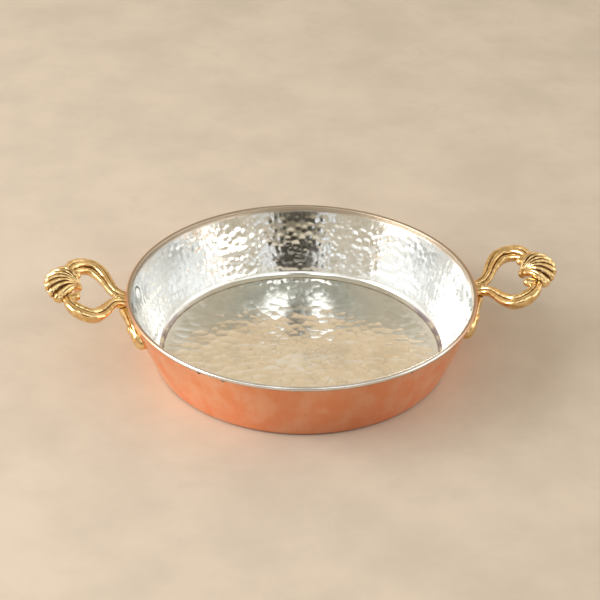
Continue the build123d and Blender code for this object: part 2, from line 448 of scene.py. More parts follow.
class Board:
    """The node board of a material or of the world."""

    def __init__(self, owner: bpy.types.Material | bpy.types.World) -> None:
        """Clears the owner's nodes.

        Args:
            owner: The material or the world.
        """
        owner.use_nodes = True
        self.owner = owner
        self.tree = owner.node_tree
        self.tree.nodes.clear()

    @classmethod
    def of_material(cls, name: str) -> "Board":
        """The empty board of a new material."""
        return cls(bpy.data.materials.new(name))

    def node(
        self, kind: str, settings: dict[str, object], inputs: dict[object, object]
    ) -> bpy.types.Node:
        """Adds a node, sets it up and feeds its sockets.

        Args:
            kind: The node's type.
            settings: Properties to set before the sockets.
            inputs: Socket names or numbers with a number, a colour, a Value or a socket.

        Returns:
            The new node.
        """
        node = self.tree.nodes.new(kind)
        for name, value in settings.items():
            setattr(node, name, value)
        for name, value in inputs.items():
            socket = node.inputs[name]
            if isinstance(value, Value):
                self.tree.links.new(value.socket, socket)
            elif isinstance(value, bpy.types.NodeSocket):
                self.tree.links.new(value, socket)
            elif isinstance(value, tuple) and len(value) == 3 and socket.type == "RGBA":
                socket.default_value = (*value, 1.0)
            else:
                socket.default_value = value
        return node

    def place(self) -> bpy.types.NodeSocket:
        """The point on the surface.

        Returns:
            Its coordinates in millimetres.
        """
        coordinates = self.node("ShaderNodeTexCoord", {}, {})
        settings = {"operation": "SCALE"}
        inputs = {0: coordinates.outputs["Object"], "Scale": 1 / MM}
        return self.node("ShaderNodeVectorMath", settings, inputs).outputs[0]

    def parts(self, vector: bpy.types.NodeSocket) -> tuple[Value, Value, Value]:
        """The three numbers of a vector."""
        node = self.node("ShaderNodeSeparateXYZ", {}, {0: vector})
        return tuple(Value(self, output) for output in node.outputs)

    def joined(self, x: object, y: object, z: object) -> bpy.types.NodeSocket:
        """A vector of three numbers."""
        return self.node("ShaderNodeCombineXYZ", {}, {0: x, 1: y, 2: z}).outputs[0]

    def noise(
        self, vector: bpy.types.NodeSocket, size: float, detail: float = 2.0, rough: float = 0.5
    ) -> Value:
        """Soft noise.

        Args:
            vector: Where the noise is read.
            size: About how wide its blotches are, in the vector's units.
            detail: Number of finer layers.
            rough: How strong each finer layer is.

        Returns:
            A number from 0 to 1 whose mean is about a half.
        """
        inputs = {"Vector": vector, "Scale": 1 / size, "Detail": detail, "Roughness": rough}
        node = self.node("ShaderNodeTexNoise", {}, inputs)
        return Value(self, node.outputs[0])

    def attribute(self, name: str) -> Value:
        """A number that the mesh keeps at each vertex."""
        node = self.node("ShaderNodeAttribute", {"attribute_name": name}, {})
        return Value(self, node.outputs["Fac"])

    def mix(self, share: Value, first: object, second: object) -> bpy.types.NodeSocket:
        """Blend of two colours.

        Args:
            share: 0 for the first colour and 1 for the second.
            first: The first colour, or a socket that gives it.
            second: The second colour, or a socket that gives it.

        Returns:
            The blended colour.
        """
        inputs = {0: share, 6: first, 7: second}
        return self.node("ShaderNodeMix", {"data_type": "RGBA"}, inputs).outputs[2]

    def bump(
        self, height: Value, depth: float, under: bpy.types.NodeSocket | None = None
    ) -> bpy.types.NodeSocket:
        """Bump on the surface.

        Args:
            height: The height that it follows.
            depth: What a height of 1 stands for, in millimetres.
            under: A bump that lies under this one.

        Returns:
            The bumped normal.
        """
        inputs: dict[object, object] = {"Height": height, "Distance": depth * MM, "Strength": 1.0}
        if under is not None:
            inputs["Normal"] = under
        return self.node("ShaderNodeBump", {}, inputs).outputs[0]

    def finish(self, **sockets: object) -> bpy.types.Material:
        """Ends the board in a Principled shader.

        Args:
            **sockets: Values for its sockets, named in lower case with underscores.

        Returns:
            The finished material.
        """
        inputs = {name.replace("_", " ").title(): value for name, value in sockets.items()}
        shader = self.node("ShaderNodeBsdfPrincipled", {}, inputs)
        self.node("ShaderNodeOutputMaterial", {}, {"Surface": shader.outputs[0]})
        return self.owner


class Spot:
    """The shaded point: its coordinates in millimetres, and its radius and angle round the pan."""

    def __init__(self, board: Board) -> None:
        """Reads the point on a board."""
        self.place = board.place()
        self.x, self.y, self.z = board.parts(self.place)

    @cached_property
    def radius(self) -> Value:
        """Distance from the pan's axis."""
        return (self.x * self.x + self.y * self.y) ** 0.5

    @cached_property
    def angle(self) -> Value:
        """Angle round the pan's axis."""
        return self.y.arctan2(self.x)


@dataclass(frozen=True)
class TinFinish:
    """Wiped tin: bright, a little cloudy, with violet tarnish along the corner at both sides."""

    sizes: PanSizes
    bright: Colour = (0.9, 0.885, 0.84)
    # painted light: the wall's tin is paler and cooler than the floor's
    lit_wall_tin: Colour = (0.94, 0.95, 0.945)
    cloudy: Colour = (0.66, 0.65, 0.6)
    warm: Colour = (0.8, 0.73, 0.6)
    tarnish: Colour = (0.3, 0.27, 0.42)
    # worn tin, also used as painted shade on the rim bead away from the front
    worn: Colour = (0.42, 0.33, 0.24)
    # painted shade along the crease where the floor meets the corner
    crease_shade: Colour = (0.34, 0.27, 0.17)
    bare: Colour = (0.84, 0.5, 0.36)
    # dark of the painted shade under the rim bead and of the painted shadow over a rivet head
    gap: Colour = (0.1, 0.075, 0.05)
    # painted shade for the lines where two hammer marks meet
    line: Colour = (0.36, 0.31, 0.24)
    polish: float = 0.1
    dullness: float = 0.24
    streak_depth: float = 0.045
    pit_depth: float = 0.006

    @property
    def rim(self) -> float:
        """The rim's radius in millimetres."""
        return self.sizes.rim_radius / MM

    def build(self) -> bpy.types.Material:
        """Makes the material.

        Returns:
            The material.
        """
        board = Board.of_material("wiped_tin")
        spot = Spot(board)
        wiped = board.joined(spot.angle * self.rim * 0.9, spot.radius * 0.12, spot.z * 0.12)
        clouds = board.noise(spot.place, 16.0, 4.0, 0.6)
        streaks = board.noise(wiped, 2.2, 3.0, 0.6)
        around = board.joined(spot.angle * self.rim, 0.0, 0.0)
        broken = board.noise(around, 11.0, 3.0, 0.6).rise(0.32, 0.62)
        off_front = abs(spot.angle + math.pi / 2).rise(0.75, 1.1)
        bead = spot.radius.rise(self.rim - 3.2, self.rim - 2.6)
        colour = self.wiped_face(board, spot, clouds, streaks)
        colour = self.tarnish_and_crease_shade(board, spot, colour, broken)
        colour = self.worn_and_shaded_rim(board, spot, colour, bead, off_front)
        # Painted shade: a dark line under the rim bead at the front.
        colour = board.mix(self.shade_under_bead(spot) * (1 - off_front) * broken, colour, self.gap)
        # Painted shadow over the left rear rivet's inner head.
        colour = board.mix(self.rivet_head_shadow(spot), colour, self.gap)
        smears = board.noise(spot.place, 3.0, 3.0).rise(0.45, 0.8)
        dull = clouds.rise(0.4, 0.75) * 0.6 + smears * 0.4
        roughness = dull.between(self.polish, self.dullness) + bead * off_front.between(0.08, 0.26)
        streak_share = abs(abs(spot.angle) - math.pi / 2).rise(0.5, 1.0).between(0.5, 2.2)
        normal = board.bump(streaks * spot.z.rise(4.0, 9.0) * streak_share, self.streak_depth)
        pits = board.noise(spot.place, 0.9, 2.0, 0.6)
        normal = board.bump(pits, self.pit_depth, normal)
        return board.finish(base_color=colour, metallic=1.0, roughness=roughness, normal=normal)

    def wiped_face(
        self, board: Board, spot: Spot, clouds: Value, streaks: Value
    ) -> bpy.types.NodeSocket:
        """Colour of the wiped tin, painted paler and cooler on the wall than on the floor as painted
        light, with painted shade along the lines where two hammer marks meet.

        Args:
            board: The material's board.
            spot: The shaded point.
            clouds: Wide soft blotches.
            streaks: Marks of the wiping cloth.

        Returns:
            The colour.
        """
        on_wall = spot.z.rise(3.0, 7.0)
        cloud_share = clouds.rise(0.46, 0.72) * 0.55 + streaks.rise(0.5, 0.8) * 0.25
        # Painted light: the wall is painted paler and cooler than the floor.
        colour = board.mix(on_wall, self.bright, self.lit_wall_tin)
        colour = board.mix(cloud_share * on_wall.between(1.0, 0.6), colour, self.cloudy)
        warmth = board.noise(spot.place, 34.0, 2.0).rise(0.5, 0.75) * on_wall.between(0.4, 0.1)
        colour = board.mix(warmth, colour, self.warm)
        middle = 1 - spot.radius.rise(30.0, 74.0) * 0.8
        patchy_ridge_shade = board.noise(spot.place, 6.0, 3.0).rise(0.42, 0.66)
        # Painted shade: dark lines where two hammer marks meet, strongest towards the middle of the
        # floor.
        line = board.attribute("edge") * patchy_ridge_shade * middle
        return board.mix(line * 0.45, colour, self.line)

    def tarnish_and_crease_shade(
        self, board: Board, spot: Spot, colour: bpy.types.NodeSocket, broken: Value
    ) -> bpy.types.NodeSocket:
        """Adds violet tarnish at both sides, and a brown line of painted shade along the crease where
        the floor meets the corner.

        Args:
            board: The material's board.
            spot: The shaded point.
            colour: The colour so far.
            broken: Where the painted crease shade is strong.

        Returns:
            The colour with both.
        """
        from_corner = spot.radius - self.sizes.floor_radius / MM
        near_corner = 1 - abs(from_corner - 1.2).rise(0.4, 2.2)
        at_sides = (abs(spot.x) / self.rim).rise(0.5, 0.78)
        patchy = board.noise(spot.place, 9.0, 3.0).rise(0.35, 0.6)
        low = 1 - spot.z.rise(3.0, 6.0)
        colour = board.mix(near_corner * at_sides * patchy * low * 0.85, colour, self.tarnish)
        # Painted shade: a brown line along the crease where the floor meets the corner.
        crease_shade = (1 - abs(from_corner - 0.2).rise(0.15, 0.8)) * low * broken.between(0.35, 0.9)
        return board.mix(crease_shade, colour, self.crease_shade)

    def worn_and_shaded_rim(
        self,
        board: Board,
        spot: Spot,
        colour: bpy.types.NodeSocket,
        bead: Value,
        off_front: Value,
    ) -> bpy.types.NodeSocket:
        """Rubs the rim bead brown, and down to the copper at its outer edge away from the front. The
        brown is partly worn tin and partly painted shade: the bead is painted darker everywhere but at
        the front.

        Args:
            board: The material's board.
            spot: The shaded point.
            colour: The colour so far.
            bead: 1 on the rim bead.
            off_front: 1 away from the pan's front.

        Returns:
            The colour with the worn rim.
        """
        rubbed = board.noise(spot.place, 14.0, 3.0).rise(0.3, 0.6).between(0.45, 1.0)
        # Partly wear, partly painted shade: the bead is painted brown all round except at the front.
        rim_wear_and_shade = bead * (off_front * 0.95 + (1 - off_front) * rubbed * 0.4)
        colour = board.mix(rim_wear_and_shade, colour, self.worn)
        edge = spot.radius.rise(self.rim - 0.95, self.rim - 0.5)
        return board.mix(edge * off_front, colour, self.bare)

    def shade_under_bead(self, spot: Spot) -> Value:
        """The lining's outer edge under the rim bead, where a dark line of painted shade goes at the
        front.

        Args:
            spot: The shaded point.

        Returns:
            1 on the edge and 0 away from it.
        """
        top = self.sizes.height / MM
        under = 1 - spot.z.rise(top - 2.2, top - 1.7)
        return under * spot.radius.rise(self.rim - 1.2, self.rim - 0.8)

    def rivet_head_shadow(self, spot: Spot) -> Value:
        """Painted shadow: the dark crescent over the left rear rivet's inner head.

        Args:
            spot: The shaded point.

        Returns:
            1 in the crescent and 0 away from it.
        """
        over = spot.z - self.sizes.rivet_height / MM
        beside = abs(spot.y) - self.sizes.rivet_offset / MM
        from_head = (beside**2 + over**2) ** 0.5 - self.sizes.inner_head_radius / MM
        ring = (1 - abs(from_head - 0.4).rise(0.25, 0.8)) * (0 - spot.x).rise(60.0, 70.0)
        return ring * over.rise(-1.0, 2.0) * spot.y.rise(0.0, 10.0)


@dataclass(frozen=True)
class CopperFinish:
    """Satin copper with soft upright mottling, random stains, painted shade across the front and
    painted shade along the foot.
    """

    bright: Colour = (1.0, 0.58, 0.38)
    deep: Colour = (0.97, 0.42, 0.22)
    # stain colour, also used for painted shade across the front and along the foot
    stain_and_shade: Colour = (0.5, 0.18, 0.08)
    satin: float = 0.3
    dullness: float = 0.44
    wrap_radius: float = 92.0
    grain_depth: float = 0.008

    def build(self) -> bpy.types.Material:
        """Makes the material.

        Returns:
            The material.
        """
        board = Board.of_material("satin_copper")
        spot = Spot(board)
        round_way = spot.angle * self.wrap_radius
        blotches = board.noise(board.joined(round_way, spot.z * 0.8, 0.0), 13.0, 3.0, 0.55)
        strokes = board.noise(board.joined(round_way, spot.z * 0.06, 0.0), 3.2, 3.0, 0.55)
        grain = board.noise(board.joined(round_way, spot.z * 0.2, 0.0), 0.7, 3.0, 0.6)
        share = blotches.rise(0.36, 0.66) * 0.85 + strokes.rise(0.42, 0.7) * 0.15
        colour = board.mix(share, self.bright, self.deep)
        spots = board.noise(spot.place, 5.0, 4.0, 0.7).rise(0.66, 0.78) * 0.45
        foot = 1 - spot.z.rise(0.2, 2.6)
        # Painted shade: the front of the pan is painted deeper and darker; the random spots are real
        # stains.
        front = 1 - abs(spot.angle + 1.5).rise(0.1, 0.75)
        colour = board.mix(front * blotches.rise(0.3, 0.6) * 0.5, colour, self.deep)
        colour = board.mix(front * 0.42 + spots, colour, self.stain_and_shade)
        # Painted shade: a dark band along the foot where the pan meets the floor.
        colour = board.mix(foot * 0.6, colour, self.stain_and_shade)
        rubbed = (blotches * 0.8 + strokes * 0.2).rise(0.3, 0.7)
        roughness = rubbed.between(self.satin, self.dullness)
        normal = board.bump(grain, self.grain_depth)
        return board.finish(base_color=colour, metallic=1.0, roughness=roughness, normal=normal)


@dataclass(frozen=True)
class BrassFinish:
    """Polished cast brass, brown in its grooves."""

    polished: Colour = (0.95, 0.69, 0.35)
    worn: Colour = (0.68, 0.43, 0.17)
    groove: Colour = (0.1, 0.04, 0.01)
    polish: float = 0.09
    dullness: float = 0.42
    grain_depth: float = 0.015

    def build(self) -> bpy.types.Material:
        """Makes the material.

        Returns:
            The material.
        """
        board = Board.of_material("cast_brass")
        place = board.place()
        sunk = board.attribute("groove").rise(0.1, 1.0)
        blotches = board.noise(place, 4.0, 3.0, 0.55)
        colour = board.mix(blotches.rise(0.38, 0.62) * 0.8, self.polished, self.worn)
        dirt = sunk * board.noise(place, 2.0, 3.0).rise(0.1, 0.45)
        colour = board.mix(dirt, colour, self.groove)
        grain = board.noise(place, 0.8, 3.0, 0.6)
        roughness = (dirt * 0.8 + grain * 0.2).rise(0.05, 0.9).between(self.polish, self.dullness)
        normal = board.bump(grain, self.grain_depth)
        return board.finish(base_color=colour, metallic=1.0, roughness=roughness, normal=normal)


@dataclass(frozen=True)
class RivetFinish:
    """Brass outside the wall and tin inside it."""

    sizes: PanSizes
    brass: Colour = (0.9, 0.64, 0.3)
    tin: Colour = (0.92, 0.93, 0.925)
    polish: float = 0.18
    dullness_ratio: float = 1.8
    dent_depth: float = 0.03

    def build(self) -> bpy.types.Material:
        """Makes the material.

        Returns:
            The material.
        """
        board = Board.of_material("tinned_rivet")
        spot = Spot(board)
        outward = spot.radius - spot.z * math.tan(self.sizes.slope) - self.sizes.base_radius / MM
        colour = board.mix(outward.rise(-0.8, -0.5), self.tin, self.brass)
        clouds = board.noise(spot.place, 2.5, 3.0).rise(0.3, 0.7)
        roughness = clouds.between(self.polish, self.polish * self.dullness_ratio)
        normal = board.bump(board.noise(spot.place, 1.2, 2.0), self.dent_depth)
        return board.finish(base_color=colour, metallic=1.0, roughness=roughness, normal=normal)


@dataclass(frozen=True)
class PlainFinish:
    """A matt, softly mottled finish for the stage."""

    name: str
    colour: Colour
    dullness: float = 0.7
    darkest: float = 0.93
    palest: float = 1.06

    def build(self) -> bpy.types.Material:
        """Makes the material.

        Returns:
            The material.
        """
        board = Board.of_material(self.name)
        place = board.place()
        clouds = board.noise(place, 60.0, 6.0, 0.62).rise(0.3, 0.7)
        smudges = board.noise(place, 22.0, 4.0, 0.6).rise(0.58, 0.72)
        darker = tuple(part * self.darkest for part in self.colour)
        paler = tuple(part * self.palest for part in self.colour)
        colour = board.mix(clouds, darker, paler)
        colour = board.mix(smudges * 0.5, colour, darker)
        return board.finish(base_color=colour, roughness=self.dullness)


def dress(piece: bpy.types.Object, finish: bpy.types.Material, slot: Slot) -> None:
    """Gives a piece its finish, hangs it on the body and logs it with its slot.

    Args:
        piece: The piece.
        finish: Its material.
        slot: The record's slot that the material belongs to.
    """
    piece.data.materials.clear()
    piece.data.materials.append(finish)
    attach(piece, BODY)
    LOG.info("%s: %d faces, %s", piece.name, len(piece.data.polygons), slot.value)


class Ripples:
    """Soft waves round the pan, from a few cosines with seeded phases."""

    def __init__(self, seed: int, turns: tuple[int, int], lengths: Span, count: int) -> None:
        """Settles the waves.

        Args:
            seed: Seed of the waves' draw.
            turns: Fewest and most waves round the pan.
            lengths: Shortest and longest wave along the profile.
            count: Number of cosines.
        """
        chance = np.random.default_rng(seed)
        self.turns = chance.integers(turns[0], turns[1], count, endpoint=True)
        self.rates = FULL_TURN / chance.uniform(lengths[0], lengths[1], count)
        self.rates *= chance.choice((-1.0, 1.0), count)
        self.phases = chance.uniform(0, FULL_TURN, count)

    def at(self, angle: np.ndarray, along: np.ndarray) -> np.ndarray:
        """Height of the waves.

        Args:
            angle: Angles round the pan.
            along: Distances along the profile.

        Returns:
            About -1 to 1 at each point.
        """
        total = np.zeros_like(angle)
        for turns, rate, phase in zip(self.turns, self.rates, self.phases):
            total += np.cos(turns * angle + rate * along + phase)
        return total / math.sqrt(len(self.turns))


@dataclass(frozen=True)
class HammerRow:
    """One row of hammer marks: its distance along the profile and its number of marks."""

    along: float
    count: int


class HammerMarks:
    """Hollows left by a domed hammer, in rows round the pan, where the deepest one shows."""

    SCATTER_ROUND = 0.2
    SCATTER_DOWN = 0.24
    EDGE_DROP = 0.04 * MM

    def __init__(self, rows: list[HammerRow], seed: int, across: float, down: float) -> None:
        """Settles the place and depth of each mark.

        Args:
            rows: The rows, in order along the profile.
            seed: Seed of the marks' scatter.
            across: Radius of the hammer's face round the pan.
            down: Radius of the hammer's face along the profile.
        """
        chance = np.random.default_rng(seed)
        shape = (len(rows), max(row.count for row in rows))
        self.across = across
        self.down = down
        self.along = np.array([row.along for row in rows])
        self.counts = np.array([row.count for row in rows])
        self.phase = chance.uniform(0, 1, len(rows))
        self.scatter_round = chance.normal(0, self.SCATTER_ROUND, shape)
        self.scatter_down = chance.normal(0, self.SCATTER_DOWN, shape)
        self.depth = chance.normal(0, 1, shape)

    def at(
        self, angle: np.ndarray, along: np.ndarray, radius: np.ndarray, spread: float
    ) -> tuple[np.ndarray, np.ndarray]:
        """Height of the hammered face over the deepest mark, and where two marks meet.

        Args:
            angle: Angles round the pan.
            along: Distances along the profile.
            radius: Radii of the points.
            spread: Standard deviation of the marks' depths.

        Returns:
            Height of each point in metres, and a share that is 1 on the edge between two marks.
        """
        nearest = np.abs(self.along[None, :] - along[:, None]).argmin(axis=1)
        pitch = np.gradient(self.along)
        turn = (angle / FULL_TURN) % 1.0
        best = np.full(angle.shape, np.inf)
        second = np.full(angle.shape, np.inf)
        for row_step in (-1, 0, 1):
            row = np.clip(nearest + row_step, 0, len(self.along) - 1)
            count = self.counts[row]
            cell = np.floor(turn * count - self.phase[row])
            for cell_step in (-1, 0, 1):
                mark = (cell + cell_step).astype(int)
                index = mark % count
                middle = (mark + 0.5 + self.phase[row] + self.scatter_round[row, index]) / count
                gap = (turn - middle + 0.5) % 1.0 - 0.5
                round_gap = gap * FULL_TURN * radius
                down_gap = along - self.along[row] - self.scatter_down[row, index] * pitch[row]
                height = round_gap**2 / (2 * self.across) + down_gap**2 / (2 * self.down)
                height += self.depth[row, index] * spread
                second = np.minimum(second, np.maximum(best, height))
                best = np.minimum(best, height)
        return best, 1 - smooth_step(second - best, 0.0, self.EDGE_DROP)


@dataclass
class Lining:
    """The tin lining: a hammered floor and wall, a smooth corner, and a bead that wraps the rim."""

    sizes: PanSizes
    finish: bpy.types.Material
    floor_cuts: int = 57
    wall_cuts: int = 1024
    corner_spacing: float = 0.4 * MM
    wall_spacing: float = 0.58 * MM
    bead_spacing: float = 0.42 * MM
    tuck_turn: float = 0.06
    wall_row_pitch: float = 5.2 * MM
    wall_first_row: float = 0.75
    wall_row_marks: int = 130
    wall_hammer_radius: float = 22.0 * MM
    wall_mark_spread: float = 0.03 * MM
    wall_mark_depth: float = 0.12 * MM
    wall_mark_lip: float = 0.014 * MM
    wall_foot_fade: Span = (2.2 * MM, 5.0 * MM)
    wall_top_fade: Span = (8.5 * MM, 3.0 * MM)
    wall_top_share: float = 0.85
    bead_fade: Span = (2.2 * MM, 1.2 * MM)
    rivet_seat: Span = (4.0 * MM, 6.5 * MM)
    floor_row_pitch: float = 6.4 * MM
    floor_middle_pitch: float = 3.8 * MM
    floor_mark_width: float = 6.6 * MM
    floor_hammer_across: float = 46.0 * MM
    floor_hammer_down: float = 66.0 * MM
    floor_mark_spread: float = 0.035 * MM
    floor_least_radius: float = 1 * MM
    floor_edge_fade: Span = (6 * MM, 0.6 * MM)
    floor_crown: float = 1.5 * MM
    crown_fade: Span = (-4 * MM, 30 * MM)
    swell_depth: float = 0.06 * MM
    swell_fade: Span = (2 * MM, 20 * MM)
    panel_depth: float = 0.04 * MM
    wipe_depth: float = 0.012 * MM
    seed: int = 7

    @property
    def floor_height(self) -> float:
        """Height of the lining's floor."""
        return self.sizes.lining_inset

    @property
    def floor_radius(self) -> float:
        """Radius where the flat floor ends and the corner begins."""
        return self.sizes.floor_radius

    def side_outline(self) -> Outline:
        """Outline of the lining from the floor's edge up the wall and over the rim bead.

        Returns:
            The outline with its rings.
        """
        sizes = self.sizes
        slope = sizes.slope
        radius = sizes.pool_radius
        centre = (self.floor_radius, self.floor_height + radius)
        outline = Outline()
        outline.arc(centre, radius, -math.pi / 2, -slope, self.corner_spacing, hollow=True)
        foot = (centre[0] + radius * math.cos(slope), centre[1] - radius * math.sin(slope))
        bead = sizes.bead_centre
        inward = sizes.copper_thickness / 2 + sizes.tin_thickness
        below = math.sqrt(sizes.bead_radius**2 - inward**2)
        top_out = -inward * math.cos(slope) - below * math.sin(slope)
        top_up = inward * math.sin(slope) - below * math.cos(slope)
        outline.line(foot, (bead[0] + top_out, bead[1] + top_up), self.wall_spacing, left=True)
        start = math.atan2(top_up, top_out) + FULL_TURN
        end = math.asin((sizes.bead_radius - sizes.wrap_depth) / sizes.bead_radius)
        outline.arc(bead, sizes.bead_radius, start, end, self.bead_spacing, hollow=False)
        tucked = sizes.bead_radius - 2 * sizes.tin_thickness
        outline.arc(bead, tucked, end, end - self.tuck_turn, self.bead_spacing, hollow=False)
        return outline

    def floor_blank(self) -> bpy.types.Object:
        """Makes a six-sided disc of even triangles, of radius 1.

        Returns:
            The blank.
        """
        Bench.clear()
        bpy.ops.mesh.primitive_circle_add(vertices=6, radius=1.0, fill_type="TRIFAN")
        piece = Bench.added("hammered_tin_floor")
        with Bench.editing(piece):
            bpy.ops.mesh.subdivide(number_cuts=self.floor_cuts)
            bpy.ops.mesh.subdivide(number_cuts=1)
        return piece

    def wall_blank(self, rings: int) -> bpy.types.Object:
        """Makes an open band of radius 1 between heights 0 and 1.

        Args:
            rings: Number of bands that it is cut into.

        Returns:
            The blank.
        """
        Bench.clear()
        bpy.ops.mesh.primitive_circle_add(vertices=self.wall_cuts, radius=1.0)
        piece = Bench.added("hammered_tin_wall")
        with Bench.editing(piece):
            bpy.ops.mesh.extrude_edges_move(TRANSFORM_OT_translate={"value": (0, 0, 1)})
            bpy.ops.mesh.select_all(action="DESELECT")
            bpy.ops.mesh.select_mode(type="EDGE")
        heights = Bench.points(piece)[:, 2][Bench.edges(piece)]
        upright = np.abs(heights[:, 0] - heights[:, 1]) > 0.5
        piece.data.edges.foreach_set("select", upright)
        bpy.ops.object.mode_set(mode="EDIT")
        bpy.ops.mesh.subdivide(number_cuts=rings - 1)
        bpy.ops.mesh.select_mode(type="VERT")
        bpy.ops.object.mode_set(mode="OBJECT")
        return piece

    @staticmethod
    def disc_places(points: np.ndarray) -> tuple[np.ndarray, np.ndarray]:
        """Makes a six-sided blank round.

        Args:
            points: The blank's points.

        Returns:
            Each point's share of the round disc's radius, and its angle there.
        """
        sector = math.pi / 3
        angle = np.arctan2(points[:, 1], points[:, 0]) % FULL_TURN
        start = np.floor((angle - sector / 2) / sector) * sector + sector / 2
        along = angle - start
        reach = np.hypot(points[:, 0], points[:, 1])
        share = reach * np.cos(along - sector / 2) / math.cos(sector / 2)
        slip = reach * np.sin(along)
        step = np.where(share > 0, slip / np.maximum(share, 1e-9) / math.sin(sector), 0.0)
        return share, start + step * sector

    def build(self) -> None:
        """Makes the floor and the wall and puts them in the place of the plain lining."""
        floor = self.floor_blank()
        share, angle = self.disc_places(Bench.points(floor))
        radius = share * self.floor_radius
        relief, edge = self.floor_relief(angle, radius)
        self.lay(floor, angle, radius, self.floor_height + relief, edge)
        rings = self.side_outline().rings
        wall = self.wall_blank(len(rings) - 1)
        points = Bench.points(wall)
        angle = np.arctan2(points[:, 1], points[:, 0])
        level = np.rint(points[:, 2] * (len(rings) - 1)).astype(int)
        radius = np.array([ring.radius for ring in rings])[level]
        height = np.array([ring.height for ring in rings])[level]
        out = np.array([ring.out for ring in rings])[level]
        up = np.array([ring.up for ring in rings])[level]
        rise = self.wall_relief(angle, radius, height)
        bowed = np.where(height > self.sizes.corner_radius, self.sizes.bow(height), 0.0)
        no_edge = np.zeros_like(radius)
        self.lay(wall, angle, radius + out * rise + bowed, height + up * rise, no_edge)

    def lay(
        self,
        piece: bpy.types.Object,
        angle: np.ndarray,
        radius: np.ndarray,
        height: np.ndarray,
        edge: np.ndarray,
    ) -> None:
        """Puts a blank's vertices in place, with its face towards the pan's inside, and dresses it.

        Args:
            piece: The blank.
            angle: Angle of each vertex.
            radius: Radius of each vertex.
            height: Height of each vertex.
            edge: Share of the painted-shade line at each vertex, which the finish reads.
        """
        Bench.store(piece, "edge", edge)
        points = np.stack((radius * np.cos(angle), radius * np.sin(angle), height), axis=1)
        Bench.place_points(piece, points)
        with Bench.editing(piece):
            bpy.ops.mesh.normals_make_consistent(inside=False)
        lowest = min(piece.data.polygons, key=lambda face: face.center.z)
        if lowest.normal.z < 0:
            with Bench.editing(piece):
                bpy.ops.mesh.flip_normals()
        Bench.smooth(piece)
        dress(piece, self.finish, Slot.TIN)
        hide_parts("tin_lining")

    def wall_relief(
        self, angle: np.ndarray, radius: np.ndarray, height: np.ndarray
    ) -> np.ndarray:
        """Works the wall: round marks with flat metal between them, soft panels, wiping streaks.

        Args:
            angle: Angle of each point.
            radius: Radius of each point.
            height: Height of each point.

        Returns:
            Height of the hammered wall over the plain one.
        """
        sizes = self.sizes
        along = (height - self.floor_height) / math.cos(sizes.slope)
        length = (sizes.bead_centre[1] - self.floor_height) / math.cos(sizes.slope)
        rows = []
        for index in range(round(length / self.wall_row_pitch)):
            row_along = (index + self.wall_first_row) * self.wall_row_pitch
            rows.append(HammerRow(row_along, self.wall_row_marks))
        marks = HammerMarks(rows, self.seed, self.wall_hammer_radius, self.wall_hammer_radius)
        relief, _ = marks.at(angle, along, radius, self.wall_mark_spread)
        room_left = (self.wall_mark_depth - relief) / self.wall_mark_lip
        relief = self.wall_mark_depth - np.logaddexp(0.0, room_left) * self.wall_mark_lip
        top_start, top_end = (length - margin for margin in self.wall_top_fade)
        bead_start, bead_end = (length - margin for margin in self.bead_fade)
        fade_in = smooth_step(along, *self.wall_foot_fade)
        fade_out = 1 - smooth_step(along, top_start, top_end) * self.wall_top_share
        off_bead = 1 - smooth_step(along, bead_start, bead_end)
        relief = relief * fade_in * fade_out * off_bead
        panels = Ripples(self.seed + 1, turns=(14, 40), lengths=(60 * MM, 200 * MM), count=9)
        relief += panels.at(angle, along) * self.panel_depth * fade_in * off_bead
        wipes = Ripples(self.seed + 4, turns=(120, 260), lengths=(60 * MM, 240 * MM), count=12)
        relief += wipes.at(angle, along) * self.wipe_depth * fade_in * off_bead
        return relief * self.off_rivets(angle, radius, height)

    def off_rivets(
        self, angle: np.ndarray, radius: np.ndarray, height: np.ndarray
    ) -> np.ndarray:
        """Finds the rivets' seats, which stay plain.

        Args:
            angle: Angle of each point.
            radius: Radius of each point.
            height: Height of each point.

        Returns:
            0 on each rivet's seat and 1 away from it.
        """
        sizes = self.sizes
        rivet_radius = sizes.wall_radius(sizes.rivet_height)
        rivet_side = rivet_radius * math.sin(sizes.rivet_offset / rivet_radius)
        across = np.abs(radius * np.sin(angle)) - rivet_side
        up = (height - sizes.rivet_height) / math.cos(sizes.slope)
        return smooth_step(np.hypot(across, up), *self.rivet_seat)

    def floor_relief(
        self, angle: np.ndarray, radius: np.ndarray
    ) -> tuple[np.ndarray, np.ndarray]:
        """Works the floor: rings of marks that widen outwards, a soft swell and a crown.

        Args:
            angle: Angle of each point.
            radius: Radius of each point.

        Returns:
            Height of the hammered floor over the plain one, and where its marks meet.
        """
        rows = []
        along = 0.0
        while along < self.floor_radius:
            count = max(1, round(FULL_TURN * along / self.floor_mark_width))
            rows.append(HammerRow(along, count))
            share = along / self.floor_radius
            along += self.floor_middle_pitch + (self.floor_row_pitch - self.floor_middle_pitch) * share
        marks = HammerMarks(rows, self.seed + 2, self.floor_hammer_across, self.floor_hammer_down)
        round_radius = np.maximum(radius, self.floor_least_radius)
        relief, edge = marks.at(angle, radius, round_radius, self.floor_mark_spread)
        fade_start, fade_end = (self.floor_radius - margin for margin in self.floor_edge_fade)
        inside = 1 - smooth_step(radius, fade_start, fade_end)
        swell = Ripples(self.seed + 3, turns=(2, 9), lengths=(50 * MM, 120 * MM), count=7)
        off_middle = smooth_step(radius, *self.swell_fade)
        crown = 1 - smooth_step(radius, *self.crown_fade)
        relief = (relief + swell.at(angle, radius) * self.swell_depth * off_middle) * inside
        return relief + crown * self.floor_crown, edge * inside


